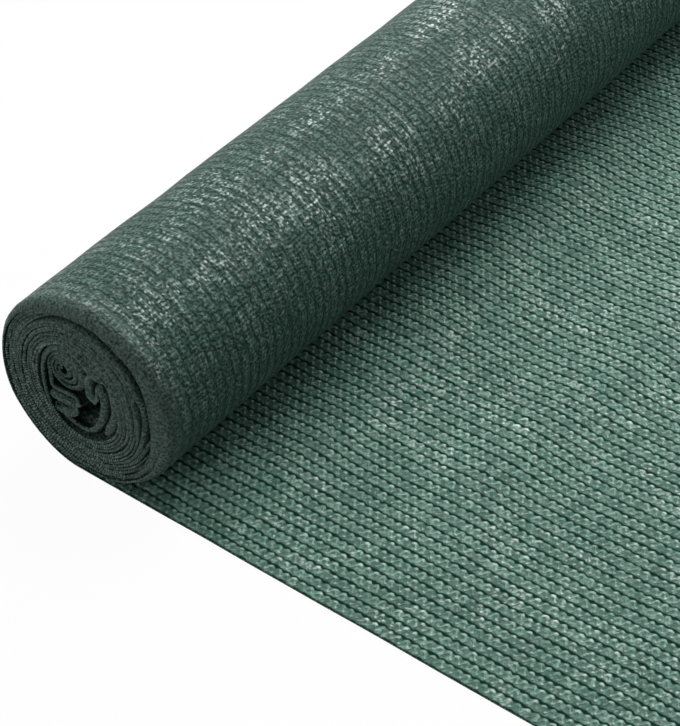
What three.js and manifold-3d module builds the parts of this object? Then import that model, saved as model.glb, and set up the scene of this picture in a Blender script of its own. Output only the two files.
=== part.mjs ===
// Privacy screen net: a knitted net wound on itself into a soft roll, its loose end lying flat beside it.
// Millimetres, +Z up. The roll's axis runs along Y, and the loose end leaves the roll's underside towards +X.
// The origin is on the ground, under the middle of the whole outline.
import * as THREE from 'three';
import * as BufferGeometryUtils from 'three/addons/utils/BufferGeometryUtils.js';
import Module from 'manifold-3d';

const wasm = await Module();
wasm.setup();

// Driving dimensions
const NET_WIDTH = 1000;
const NET_THICKNESS = 1;
const PIECE_GAP = 0.3;
const ROLL_RADIUS = 50.5;
const AXIS_HEIGHT = 49.7;
const TURNS = 13;
const LOOSE_REACH = 340;

// Distance from the roll's axis of the crumpled core inside the even turns. This table and the lip's give a value
// for each eighth of a turn, counted clockwise from the ground line.
const CORE_RADII = [31.5, 32, 31, 30.5, 29.5, 27, 25, 28.5];

// Soft swells (out > 0) and dents (out < 0) of the wound form. at and reach are shares of one turn,
// counted the same way; along is where each is strongest, as a share of the width.
const SWELLS = [
  { at: 0.84, reach: 0.2, out: 1.2, along: 0.5, spread: 2 },
  { at: 0.13, reach: 0.14, out: 1.4, along: 0.0, spread: 0.4 },
  { at: 0.43, reach: 0.12, out: -0.7, along: 0.06, spread: 0.2 },
  { at: 0.55, reach: 0.14, out: 0.5, along: 0.45, spread: 0.4 },
  { at: 0.3, reach: 0.16, out: -0.6, along: 0.62, spread: 0.35 },
  { at: 0.66, reach: 0.13, out: -0.6, along: 0.8, spread: 0.3 },
  { at: 0.2, reach: 0.15, out: 0.8, along: 1.0, spread: 0.4 },
];

// At both ends the outer turns bend in over the inner ones as a soft lip of these widths. It reaches along
// the axis by LIP.axial of its width, and LIP.gap lies inside it.
const LIP_WIDTHS = [1.2, 1, 4.2, 8, 9.5, 11, 13, 7.5];
const LIP = { axial: 0.6, gap: 1.6 };
const LIP_STEPS = 4;
const END_SHARES = [0.45, 0.75];

// Along the roll
const BODY_ROWS = 7;
const BODY_MARGIN = 40;
const TURN_STEPS = 60;

// The main gap of the winding inside the lip, seen at both ends
const GAP_WIDTH = 1.2;
const GAP_DEPTH = 3;
const GAP_TURNS = 2;
const GAP_OUTER = 0.42;
const GAP_INNER = 0.06;
const GAP_STEPS = 30;
const CUT_MARGIN = 4;

// The hollow that the crumpled first turns leave at the core, measured from the roll's axis
const CORE_DEPTH = 24;
const CORE_STEPS = 18;
const CORE_CORNERS = [
  { x: 0, z: -27 },
  { x: -5, z: -22 },
  { x: -19, z: -22 },
  { x: -8, z: -12 },
  { x: -2, z: -4 },
  { x: 8, z: -4 },
  { x: 6, z: -15 },
];

// Ridges of the loose end, which lies flat between them
const RIDGES = [
  { at: 64, halfWidth: 27, height: 2.6, drift: 6, phase: 0.1 },
  { at: 160, halfWidth: 34, height: 3, drift: 9, phase: 0.45 },
  { at: 268, halfWidth: 32, height: 2.2, drift: 10, phase: 0.8 },
];
const RIDGE_FADE = 110;
const EDGE_LIFT_SHARE = 0.12;
const LOOSE_STEP_X = 11;
const LOOSE_STEP_Y = 50;
const LOOSE_FLAT_START = 30;

const NET_COLOUR = '#5f7d73';
const NET_ROUGHNESS = 0.6;

function smooth(share) {
  const t = THREE.MathUtils.clamp(share, 0, 1);
  return t * t * (3 - 2 * t);
}

// 1 in the middle and 0 from one reach away
function hump(offset, reach) {
  const t = Math.min(Math.abs(offset) / reach, 1);
  return (1 + Math.cos(Math.PI * t)) / 2;
}

function aroundTurn(a, b) {
  const d = Math.abs(a - b) % 1;
  return Math.min(d, 1 - d);
}

function swell(turn, y) {
  let out = 0;
  for (const s of SWELLS) {
    out += s.out * hump(aroundTurn(turn, s.at), s.reach) * hump(y / NET_WIDTH - s.along, s.spread);
  }
  return out;
}

// Smooth closed curve through values that stand evenly round one turn
function aroundTable(turn, values) {
  const place = (turn % 1) * values.length;
  const k = Math.floor(place);
  const t = place - k;
  const [a, b, c, d] = [-1, 0, 1, 2].map((i) => values[(k + i + values.length) % values.length]);
  return b + ((c - a) * t + (2 * a - 5 * b + 4 * c - d) * t ** 2 + (3 * b - a - 3 * c + d) * t ** 3) / 2;
}

// The outline that all turns would have at no thickness, flattened where it meets the ground
function fullRadius(turn, y) {
  const down = Math.cos(2 * Math.PI * turn);
  const free = ROLL_RADIUS + swell(turn, y);
  return down > 0 ? Math.min(free, AXIS_HEIGHT / down) : free;
}

// Distance from the axis between the core (share 0) and the full outline (share 1)
function woundRadius(turn, y, share) {
  const core = aroundTable(turn, CORE_RADII);
  return core + (fullRadius(turn, y) - core) * share;
}

// The outermost turn comes round one turn's pitch further in.
function outerShare(turn) {
  return 1 - turn / TURNS;
}

function aboutAxis(turn, radius) {
  const angle = 2 * Math.PI * turn;
  return { x: -radius * Math.sin(angle), z: AXIS_HEIGHT - radius * Math.cos(angle) };
}

function outerRadius(turn, y) {
  return woundRadius(turn, y, outerShare(turn));
}

// One end's rings from its middle to its rim, each giving the radius and the depth behind the end at a turn:
// the flat face of the inner turns, the gap beside the lip, and the lip's quarter ellipse
function endRings(y) {
  const lipWidth = (turn) => aroundTable(turn, LIP_WIDTHS);
  const inner = (turn) => outerRadius(turn, y) - lipWidth(turn);
  const rings = END_SHARES.map((share) => (turn) => [share * inner(turn), 0]);
  rings.push((turn) => [inner(turn) - LIP.gap, 0]);
  rings.push((turn) => [inner(turn) - LIP.gap / 4, LIP.axial * lipWidth(turn)]);
  for (let i = 0; i <= LIP_STEPS; i += 1) {
    const angle = (Math.PI / 2) * (i / LIP_STEPS);
    const out = Math.sin(angle);
    const back = LIP.axial * (1 - Math.cos(angle));
    rings.push((turn) => [inner(turn) + out * lipWidth(turn), back * lipWidth(turn)]);
  }
  return rings;
}

// Rings of the roll from the near end's middle to the far end's, each a function of the turn
function rollRings() {
  const place = (turn, radius, y) => {
    const p = aboutAxis(turn, radius);
    return [p.x, y, p.z];
  };
  const near = endRings(0).map((ring) => (turn) => place(turn, ring(turn)[0], ring(turn)[1]));
  const far = endRings(NET_WIDTH).map((ring) => (turn) => place(turn, ring(turn)[0], NET_WIDTH - ring(turn)[1]));
  const body = [];
  for (let i = 0; i < BODY_ROWS; i += 1) {
    const y = BODY_MARGIN + ((NET_WIDTH - 2 * BODY_MARGIN) * i) / (BODY_ROWS - 1);
    body.push((turn) => place(turn, outerRadius(turn, y), y));
  }
  return [...near, ...body, ...far.toReversed()];
}

function meshFrom(points, triangles) {
  const geometry = new THREE.BufferGeometry();
  geometry.setAttribute('position', new THREE.Float32BufferAttribute(points.flat(), 3));
  geometry.setIndex(triangles.flat());
  return geometry;
}

// Closed rings, with one more point than steps because the turn ends a net's thickness further in
function rollBody() {
  const rings = rollRings();
  const count = TURN_STEPS + 1;
  const points = [[0, 0, AXIS_HEIGHT]];
  for (const ring of rings) {
    for (let i = 0; i < count; i += 1) {
      points.push(ring(i / TURN_STEPS));
    }
  }
  points.push([0, NET_WIDTH, AXIS_HEIGHT]);
  const last = points.length - 1;
  const start = (k) => 1 + k * count;
  const triangles = [];
  for (let i = 0; i < count; i += 1) {
    const next = (i + 1) % count;
    triangles.push([0, start(0) + next, start(0) + i]);
    for (let k = 0; k < rings.length - 1; k += 1) {
      const [a, b] = [start(k) + i, start(k) + next];
      const [c, d] = [start(k + 1) + i, start(k + 1) + next];
      triangles.push([a, b, d], [a, d, c]);
    }
    triangles.push([last, start(rings.length - 1) + i, start(rings.length - 1) + next]);
  }
  return meshFrom(points, triangles);
}

function toSolid(geometry) {
  const bare = geometry.clone();
  bare.deleteAttribute('normal');
  bare.deleteAttribute('uv');
  const merged = BufferGeometryUtils.mergeVertices(bare);
  const mesh = new wasm.Mesh({
    numProp: 3,
    vertProperties: new Float32Array(merged.attributes.position.array),
    triVerts: new Uint32Array(merged.index.array),
  });
  return new wasm.Manifold(mesh);
}

function toGeometry(solid) {
  const mesh = solid.getMesh();
  const geometry = new THREE.BufferGeometry();
  geometry.setAttribute('position', new THREE.BufferAttribute(mesh.vertProperties, 3));
  geometry.setIndex(new THREE.BufferAttribute(mesh.triVerts, 1));
  return geometry;
}

// A spiral slot, cut into the near end (side 0) or the far end (side 1) to an even depth
function spiralSlot(side) {
  const steps = GAP_TURNS * GAP_STEPS;
  const points = [];
  const triangles = [];
  for (let i = 0; i <= steps; i += 1) {
    const travel = (i * GAP_TURNS) / steps;
    const turn = travel % 1;
    const radius = woundRadius(turn, side * NET_WIDTH, THREE.MathUtils.lerp(GAP_OUTER, GAP_INNER, i / steps));
    for (const [r, depth] of [
      [radius, -CUT_MARGIN],
      [radius + GAP_WIDTH, -CUT_MARGIN],
      [radius + GAP_WIDTH, GAP_DEPTH],
      [radius, GAP_DEPTH],
    ]) {
      const p = aboutAxis(turn, r);
      points.push([p.x, side ? NET_WIDTH - depth : depth, p.z]);
    }
  }
  for (let i = 0; i < steps; i += 1) {
    for (let k = 0; k < 4; k += 1) {
      const [a, b] = [4 * i + k, 4 * i + ((k + 1) % 4)];
      triangles.push([a, b, b + 4], [a, b + 4, a + 4]);
    }
  }
  const end = 4 * steps;
  triangles.push([0, 2, 1], [0, 3, 2], [end, end + 1, end + 2], [end, end + 2, end + 3]);
  const facing = side ? triangles : triangles.map(([a, b, c]) => [a, c, b]);
  return meshFrom(points, facing);
}

// The crumpled hollow at the core, as a blind pocket in one end
function corePocket(side) {
  const corners = CORE_CORNERS.map((p) => new THREE.Vector3(p.x, AXIS_HEIGHT + p.z, 0));
  const curve = new THREE.CatmullRomCurve3(corners, true, 'centripetal');
  const outline = curve.getPoints(CORE_STEPS).slice(0, CORE_STEPS);
  const shape = new THREE.Shape(outline.map((p) => new THREE.Vector2(p.x, p.y)));
  const pocket = new THREE.ExtrudeGeometry(shape, { depth: CORE_DEPTH + CUT_MARGIN, bevelEnabled: false });
  pocket.rotateX(Math.PI / 2);
  return pocket.translate(0, side ? NET_WIDTH + CUT_MARGIN : CORE_DEPTH, 0);
}

function rollGeometry() {
  let solid = toSolid(rollBody());
  for (const side of [0, 1]) {
    solid = solid.subtract(toSolid(spiralSlot(side)));
    solid = solid.subtract(toSolid(corePocket(side)));
  }
  return toGeometry(solid);
}

// How much of a ridge's height stands at this place across the net: little at both edges
function ridgeShare(ridge, y) {
  const fromEdge = Math.min(y, NET_WIDTH - y);
  const rise = THREE.MathUtils.lerp(EDGE_LIFT_SHARE, 1, smooth(fromEdge / RIDGE_FADE));
  return rise * (0.8 + 0.2 * Math.sin(2 * Math.PI * (y / 260 + ridge.phase)));
}

// Height of the loose end's underside above the ground
function lift(x, y) {
  let height = 0;
  for (const ridge of RIDGES) {
    const crest = ridge.at + ridge.drift * Math.sin(2 * Math.PI * (y / 410 + ridge.phase));
    height += ridge.height * ridgeShare(ridge, y) * hump(x - crest, ridge.halfWidth);
  }
  return height;
}

function evenSteps(from, to, step) {
  const count = Math.ceil((to - from) / step);
  return Array.from({ length: count + 1 }, (_, i) => from + ((to - from) * i) / count);
}

// A closed sheet on the grid of xs and ys: the underside, the top a net's thickness above it, and four edges
function looseEndGeometry() {
  const xs = [PIECE_GAP, ...evenSteps(LOOSE_FLAT_START, LOOSE_REACH, LOOSE_STEP_X)];
  const ys = evenSteps(0, NET_WIDTH, LOOSE_STEP_Y);
  const points = [];
  for (const rise of [0, NET_THICKNESS]) {
    for (const x of xs) {
      for (const y of ys) {
        points.push([x, y, lift(x, y) + rise]);
      }
    }
  }
  const layer = xs.length * ys.length;
  const at = (i, j) => i * ys.length + j;
  const triangles = [];
  for (let i = 0; i < xs.length - 1; i += 1) {
    for (let j = 0; j < ys.length - 1; j += 1) {
      const [a, b, c, d] = [at(i, j), at(i + 1, j), at(i + 1, j + 1), at(i, j + 1)];
      triangles.push([a, c, b], [a, d, c]);
      triangles.push([layer + a, layer + b, layer + c], [layer + a, layer + c, layer + d]);
    }
  }
  const border = [];
  for (let i = 0; i < xs.length - 1; i += 1) border.push(at(i, 0));
  for (let j = 0; j < ys.length - 1; j += 1) border.push(at(xs.length - 1, j));
  for (let i = xs.length - 1; i > 0; i -= 1) border.push(at(i, ys.length - 1));
  for (let j = ys.length - 1; j > 0; j -= 1) border.push(at(0, j));
  border.forEach((a, k) => {
    const b = border[(k + 1) % border.length];
    triangles.push([a, b, layer + b], [a, layer + b, layer + a]);
  });
  return meshFrom(points, triangles);
}

function netPiece(name, geometry) {
  geometry.computeVertexNormals();
  const material = new THREE.MeshStandardMaterial({ color: NET_COLOUR, roughness: NET_ROUGHNESS, metalness: 0 });
  const mesh = new THREE.Mesh(geometry, material);
  mesh.name = name;
  return mesh;
}

const net = new THREE.Group();
net.add(netPiece('net_roll', rollGeometry()));
net.add(netPiece('net_loose_end', looseEndGeometry()));

// The origin goes under the middle of the outline.
const middle = new THREE.Box3().setFromObject(net).getCenter(new THREE.Vector3());
net.position.set(-middle.x, -middle.y, 0);
net.updateMatrixWorld(true);

export default net;
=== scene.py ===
# Privacy screen net: a wound roll of knitted net with its loose end lying flat, built around the fixed frame
import math
from types import SimpleNamespace

import bpy
import numpy as np
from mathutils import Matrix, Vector


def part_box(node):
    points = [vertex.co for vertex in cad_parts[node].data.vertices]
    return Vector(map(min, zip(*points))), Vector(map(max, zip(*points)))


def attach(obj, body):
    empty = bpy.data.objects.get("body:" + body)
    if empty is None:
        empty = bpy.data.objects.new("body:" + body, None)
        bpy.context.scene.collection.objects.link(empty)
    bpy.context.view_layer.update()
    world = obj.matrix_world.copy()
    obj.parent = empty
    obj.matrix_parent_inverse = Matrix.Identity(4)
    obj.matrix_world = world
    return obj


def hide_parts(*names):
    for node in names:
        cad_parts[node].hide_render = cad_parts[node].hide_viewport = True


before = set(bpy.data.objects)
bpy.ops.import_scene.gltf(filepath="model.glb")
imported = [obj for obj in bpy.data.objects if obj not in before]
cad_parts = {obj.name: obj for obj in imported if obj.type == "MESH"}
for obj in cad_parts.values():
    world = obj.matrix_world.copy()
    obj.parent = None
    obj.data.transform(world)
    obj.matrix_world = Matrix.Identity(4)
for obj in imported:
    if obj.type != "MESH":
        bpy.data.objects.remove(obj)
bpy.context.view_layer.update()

MM = 0.001
TINY = 1e-6  # keeps divisions away from zero

# ---------------------------------------------------------------- sizes, in millimetres
NET_WIDTH = 1000.0
NET_THICKNESS = 1.0
ROLL_RADIUS = 50.5
AXIS_HEIGHT = 49.7
TURNS = 13
LOOSE_REACH = 340.0  # from the roll's axis to the cut edge
WALE = 6.0  # one stitch column, across the net
COURSE = 4.35  # one row of stitches, along the net

# Distances from the roll's axis, each eighth of a turn from the ground line and on by the left side:
# the core inside the even turns, and the hollow two turns further in
CORE_RADII = (31.5, 32.0, 31.0, 30.5, 29.5, 27.0, 25.0, 28.5)
HOLLOW_RADII = (29.0, 29.5, 28.6, 27.5, 24.5, 20.0, 20.5, 25.0)
CORE_TURNS = 2
SADDLE = {"at": 0.56, "reach": 0.055, "in": 5.0}  # the hollow's dent beside its top
BUNDLE = {"turns": 4, "share": 0.015, "grown": 2}  # the even turns lie closer and wider by turns
NEAR_GROUND = 0.5  # the roll is flattened only where its outline faces down by more than this

# Soft swells and dents of the wound form, as in the frame's solid: places in turns and shares of the length
SWELLS = [
    {"at": 0.84, "reach": 0.2, "out": 1.2, "along": 0.5, "spread": 2.0},
    {"at": 0.13, "reach": 0.14, "out": 1.4, "along": 0.0, "spread": 0.4},
    {"at": 0.43, "reach": 0.12, "out": -0.7, "along": 0.06, "spread": 0.2},
    {"at": 0.55, "reach": 0.14, "out": 0.5, "along": 0.45, "spread": 0.4},
    {"at": 0.3, "reach": 0.16, "out": -0.6, "along": 0.62, "spread": 0.35},
    {"at": 0.66, "reach": 0.13, "out": -0.6, "along": 0.8, "spread": 0.3},
    {"at": 0.2, "reach": 0.15, "out": 0.8, "along": 1.0, "spread": 0.4},
]

# Small creases along the roll that only the cloth has, in the same way
CREASES = [
    {"at": 0.55, "reach": 0.055, "out": -0.5, "along": 0.4, "spread": 0.75},
    {"at": 0.632, "reach": 0.09, "out": 1.8, "along": 0.4, "spread": 0.75},
]

# The outer turns bend in over the inner ones at both ends as a soft lip. Its width each eighth of a turn,
# how far it reaches along the roll as a share of that, how much of it the outermost turn covers, how deep
# the turns lie that end at its full width, and the trough beside it
LIP_WIDTHS = (1.2, 1.0, 4.2, 8.0, 9.5, 11.0, 13.0, 7.5)
LIP = {"axial": 0.6, "first": 0.35, "nest": 5.5, "fray": 0.1, "start": 0.12, "trough": 0.8}

# The turns inside the outer one stray, by seeded noise: in the room that their neighbours leave them, and at
# their edges, which lie back along the roll. The noise has so many patches per turn along the net, and each
# is so many millimetres across it.
LATTICE = 64
INSIDE = {"from": 0.9, "over": 0.3}  # in turns
SLACK = {"seed": 11, "share": 0.42, "per_turn": 7.3, "across": 45}
STRAYS = [
    {"seed": 21, "back": 0.25, "per_turn": 8.1},
    {"seed": 23, "back": 0.45, "per_turn": 47},
]
FRAY = {"seed": 22, "per_turn": 15}  # of the lip
BEAD = {"thick": 0.5, "reach": 1.8, "grown": 60}  # their edges are thicker, from nothing over a first length

# Small soft dents, none where the roll lies on the ground and few on the turns inside
DENTS = [
    {"seed": 5, "deep": 0.35, "per_turn": 9, "across": 34},
    {"seed": 6, "deep": 0.12, "per_turn": 23, "across": 11},
]
DENT_FREE = {"start": 0.08, "ground": 0.1}  # in turns
DENT_INSIDE = {"from": 1.2, "share": 0.3}

# Knitted relief: grooves between the stitch columns, how much of them shows on the other side, how far the
# side edges are rounded, and how far the columns wander on the loose end
RIB_HEIGHT = 0.22
GROOVE_SHARE = 0.14
OTHER_SIDE_SHARE = 0.12
EDGE_ROUND = 0.25
WANDER = {"seed": 41, "out": 1.5, "along": 62, "across": 46, "edge": 14}

# Ridges of the loose end, as in the frame's solid
RIDGES = [
    {"at": 64, "half_width": 27, "height": 2.6, "drift": 6, "phase": 0.1},
    {"at": 160, "half_width": 34, "height": 3.0, "drift": 9, "phase": 0.45},
    {"at": 268, "half_width": 32, "height": 2.2, "drift": 10, "phase": 0.8},
]
RIDGE_FADE = 110.0
RIDGE_SWELL = {"share": 0.2, "every": 260}
RIDGE_BEND = 410  # the length in which a ridge drifts to and fro
EDGE_LIFT_SHARE = 0.12

# The first length of the net, crumpled inside the hollow, from the innermost even turn to its very start:
# offsets x and z from the roll's axis, and how far each place lies behind the end
CRUMPLE = (
    # round once more: up the left side, over the top, past the dent and down the right side
    (0.0, -28.5, 0.4), (-7.0, -28.0, 0.4), (-14.0, -25.9, 0.4), (-20.0, -22.0, 0.5), (-24.4, -15.5, 0.6),
    (-26.6, -7.5, 0.6), (-26.9, 1.0, 0.6), (-25.0, 9.5, 0.6), (-20.6, 16.5, 0.8), (-14.0, 21.0, 1.0),
    (-7.5, 22.6, 1.0), (-1.5, 20.4, 1.2), (2.2, 16.6, 1.4), (5.6, 13.8, 1.4), (9.3, 13.8, 1.2),
    (13.0, 14.8, 1.0), (16.6, 12.2, 0.8), (18.4, 7.0, 0.6), (19.0, 0.0, 0.6), (18.9, -6.0, 0.6),
    (17.6, -12.0, 0.6), (15.0, -17.2, 0.7), (11.8, -20.8, 0.8),
    # folded up beside the right side, over, and twice more up and down
    (9.6, -20.8, 1.2), (9.6, -17.6, 1.4), (11.8, -12.6, 1.6), (13.7, -7.4, 1.6), (14.7, -2.0, 1.6),
    (14.9, 3.6, 1.4), (13.8, 8.6, 1.4), (11.0, 11.0, 1.4), (7.0, 11.2, 1.4), (3.8, 9.4, 1.4),
    (2.8, 4.6, 1.6), (3.0, -0.6, 1.6), (4.0, -2.6, 1.6), (5.0, -0.6, 1.6), (5.2, 4.0, 1.6),
    (7.4, 7.2, 1.6), (10.6, 5.4, 1.4), (12.4, 0.0, 1.0),
    # down beside the hole, along the bottom, back, and to and fro over a slit
    (12.0, -6.0, 0.8), (10.3, -12.4, 0.8), (7.4, -18.4, 0.8), (3.4, -23.2, 0.8), (-2.0, -25.8, 1.0),
    (-7.6, -25.4, 1.0), (-12.8, -23.8, 1.0), (-17.8, -21.0, 1.0), (-21.4, -18.6, 1.0), (-18.0, -18.0, 1.0),
    (-12.4, -18.2, 1.0), (-8.6, -16.6, 1.0), (-7.4, -15.0, 1.0), (-9.4, -14.0, 1.1), (-14.8, -14.6, 1.1),
    (-21.4, -15.0, 1.0), (-23.8, -12.8, 1.0), (-20.8, -11.4, 1.0), (-13.4, -11.4, 1.1), (-7.4, -10.6, 1.0),
    (-5.4, -9.4, 1.0), (-7.4, -8.4, 1.1), (-13.8, -8.9, 1.1), (-21.6, -8.0, 1.0),
)
# From there the net winds up to its very start round a pocket: turns, the first from which part of a turn,
# first and last middle and radius, and how far back the first and last lie
BUD = {
    "turns": 3.3,
    "start": 0.19,
    "middle": ((-12.2, 4.6), (-17.0, 1.4)),
    "radius": (12.8, 3.6),
    "back": (2.4, 5.2),
}
BUD_POINTS = 24  # in each turn
CURVE_POINTS = 12  # between two places of the crumple
# It leans in, lies deeper than its places say and strays more and more over the first part of its length
CRUMPLE_LEAN = 2.7
CRUMPLE_SINK = 1.3
CRUMPLE_STRAY = {"seeds": (31, 32), "out": 0.35, "fade": 30, "patches": 9, "across": 60}
FIRST_PART = 1 / 12
# Further in, the crumpled net closes these holes
HOLES = [
    {"at": (2.0, -12.0), "reach": 10.5, "depth": 15.0},
    {"at": (-17.0, 1.4), "reach": 5.0, "depth": 2.4},
]
HOLE_RIM = 2
CLOSING_SHARE = 0.85

# The meshes: how far round the outer turn goes, columns along each piece, a step along the crumple, and rows
# across the net, in each stitch column of the ribbed pieces and from either end of the inner turns
OUTER_TURN = 1.06
LOOSE_COLUMNS = 66
OUTER_COLUMNS = 73
INNER_COLUMNS = 800
CRUMPLE_STEP = 2.0
RIB_ROWS = (0, 0.7, 3, 5.3)
LAST_ROW_GAP = 0.3
END_ROWS = (0, 0.5, 1.5, 3, 5, 7.5, 10.5, 14, 18, 24, 40, 70, 120, 200, 320)

# Floor, light and camera, in metres and degrees, but the camera's place in millimetres from the near end
FLOOR_COLOUR = (0.3, 0.3, 0.3, 1)
FLOOR_GLOW = 0.97
FLOOR_HALF = 10.0
FLOOR_DROP = -0.0003
CLIP_START = 0.01
WORLD_LIGHT = 0.056
SEEN_BY = ("Camera", "Glossy", "Transmission")
LAMPS = [
    {"name": "key", "place": (-0.6, 1.6, 2.2), "size": 2.8, "power": 92},
    {"name": "left", "place": (-1.5, 1.6, 1.3), "size": 0.5, "power": 8},
    {"name": "right", "place": (1.1, 1.6, 1.9), "size": 0.6, "power": 10.5},
    {"name": "front", "place": (-0.6, -2.4, 0.8), "size": 1.2, "power": 9.5},
]
CAMERA_PLACE = (529.1, -511.7, 729.6)
CAMERA_DOWN = 42.26
CAMERA_TURNED = 36.95
CAMERA_LENS = 110.6

# ---------------------------------------------------------------- places in the row frame
AXIS_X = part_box("net_loose_end")[1].x / MM - LOOSE_REACH
NEAR_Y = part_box("net_roll")[0].y / MM


def to_row_frame(points):
    """Millimetres from the roll's near end, on the ground under its axis, to metres in the row frame."""
    return (np.asarray(points, float) + np.array([AXIS_X, NEAR_Y, 0.0])) * MM


# ---------------------------------------------------------------- the wound form
def smooth(share):
    """From 0 at 0 to 1 at 1, softly"""
    t = np.clip(share, 0.0, 1.0)
    return t * t * (3 - 2 * t)


def hump(offset, reach):
    """1 in the middle and 0 from one reach away"""
    return (1 + np.cos(np.pi * np.minimum(np.abs(offset) / reach, 1.0))) / 2


def around_turn(a, b):
    """How far two places round a turn lie apart, in turns"""
    apart = np.abs(a - b) % 1
    return np.minimum(apart, 1 - apart)


def smooth_through(values, place):
    """Smooth curve through a line of values, a column each, at a place counted from the first"""
    k = np.clip(np.floor(place).astype(int), 0, len(values) - 2)
    t = place - k
    if values.ndim > 1:
        t = t[..., None]
    ends = np.concatenate([2 * values[:1] - values[1:2], values, 2 * values[-1:] - values[-2:-1]])
    a, b, c, d = (ends[k + i] for i in range(4))
    return 0.5 * (2 * b + (c - a) * t + (2 * a - 5 * b + 4 * c - d) * t**2 + (3 * b - a - 3 * c + d) * t**3)


def round_table(turn, values):
    """Smooth closed curve through values that stand evenly round a turn"""
    count = len(values)
    return smooth_through(np.array([*values[-2:], *values, *values[:3]]), turn % 1 * count + 2)


def full_radius(turn, y):
    """The outline that all turns would have at no thickness, flattened where it meets the ground"""
    free = ROLL_RADIUS + 0.0 * y
    for swell in SWELLS + CREASES:
        across = hump(around_turn(turn, swell["at"]), swell["reach"])
        free = free + swell["out"] * across * hump(y / NET_WIDTH - swell["along"], swell["spread"])
    down = np.cos(2 * np.pi * turn)
    flattened = AXIS_HEIGHT / np.maximum(down, NEAR_GROUND)
    return np.where(down > NEAR_GROUND, np.minimum(free, flattened), free)


def value_noise(seed, *coordinates):
    """Smooth noise from -1 to 1 on a lattice of random numbers, one unit apart, that repeats far away"""
    lattice = np.random.default_rng(seed).uniform(-1, 1, (LATTICE,) * len(coordinates))
    cells = [np.floor(c).astype(int) for c in coordinates]
    shares = [smooth(c - np.floor(c)) for c in coordinates]
    total = 0.0
    for corner in range(2 ** len(coordinates)):
        weight = 1.0
        index = []
        for axis, (cell, share) in enumerate(zip(cells, shares)):
            bit = (corner >> axis) & 1
            weight = weight * (share if bit else 1 - share)
            index.append((cell + bit) % LATTICE)
        total = total + weight * lattice[tuple(index)]
    return total


# ---------------------------------------------------------------- where each place of the net lies
def wound_radius(turns, y):
    """Distance of the outer face from the axis, that many turns in from where the net leaves the ground"""
    turn = turns % 1
    core = round_table(turn, CORE_RADII)
    done = np.minimum(turns, TURNS)
    bundled = BUNDLE["share"] * np.sin(2 * np.pi * done / BUNDLE["turns"]) * smooth(done / BUNDLE["grown"])
    even = core + (full_radius(turn, y) - core) * (1 - done / TURNS - bundled)
    inward = np.clip((turns - TURNS) / CORE_TURNS, 0.0, 1.0)
    saddle = SADDLE["in"] * hump(around_turn(turn, SADDLE["at"]), SADDLE["reach"])
    return even + (round_table(turn, HOLLOW_RADII) - saddle - core) * inward


def inside(turns):
    """0 on the outer turn, 1 on the turns inside it"""
    return smooth((turns - INSIDE["from"]) / INSIDE["over"])


def slack(turns, y):
    """How far a turn strays in the room that its neighbours leave it"""
    turn = turns % 1
    room = (full_radius(turn, y) - round_table(turn, CORE_RADII)) / TURNS - NET_THICKNESS
    strays = value_noise(SLACK["seed"], turns * SLACK["per_turn"], y / SLACK["across"])
    return SLACK["share"] * np.maximum(room, 0) * inside(turns) * strays


def dents(turns, y):
    """How far the small soft dents and bulges stand out"""
    free = smooth(turns / DENT_FREE["start"]) * smooth(around_turn(turns % 1, 0.0) / DENT_FREE["ground"])
    out = 0.0
    for dent in DENTS:
        out = out + dent["deep"] * value_noise(dent["seed"], turns * dent["per_turn"], y / dent["across"])
    return free * out * np.where(turns < DENT_INSIDE["from"], 1.0, DENT_INSIDE["share"])


def lying_back(turns):
    """How far the edges of the turns stray back from the end"""
    back = 0.0
    for stray in STRAYS:
        noise = value_noise(stray["seed"], turns * stray["per_turn"])
        back = back + stray["back"] * (1 + noise) * inside(turns)
    return back


def lip_here(turns):
    """The lip's width there: it grows from nothing where the net leaves the ground"""
    return round_table(turns % 1, LIP_WIDTHS) * smooth(turns / LIP["start"])


def bend_over(across, reach, full, back):
    """Drawing-in and place along the axis of the net's width, from its profile at both ends: a quarter
    ellipse that would draw it in by full, cut off where it has drawn it in by reach. The ellipse touches a
    plane that stands behind the end by back."""
    deep = LIP["axial"] * full
    cut = np.arcsin(np.clip(1 - reach / np.maximum(full, TINY), 0.0, 1.0))
    arc = np.sqrt((full**2 + deep**2) / 2) * (np.pi / 2 - cut)
    centre = back + deep
    profile = 2 * arc + NET_WIDTH - 2 * centre
    along = across / NET_WIDTH * profile
    from_edge = np.minimum(along, profile - along)
    angle = cut + np.minimum(from_edge / np.maximum(arc, TINY), 1.0) * (np.pi / 2 - cut)
    drawn_in = full * (1 - np.sin(angle))
    y = np.where(from_edge < arc, centre - deep * np.cos(angle), centre + from_edge - arc)
    return drawn_in, np.where(along < profile / 2, y, NET_WIDTH - y)


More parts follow.
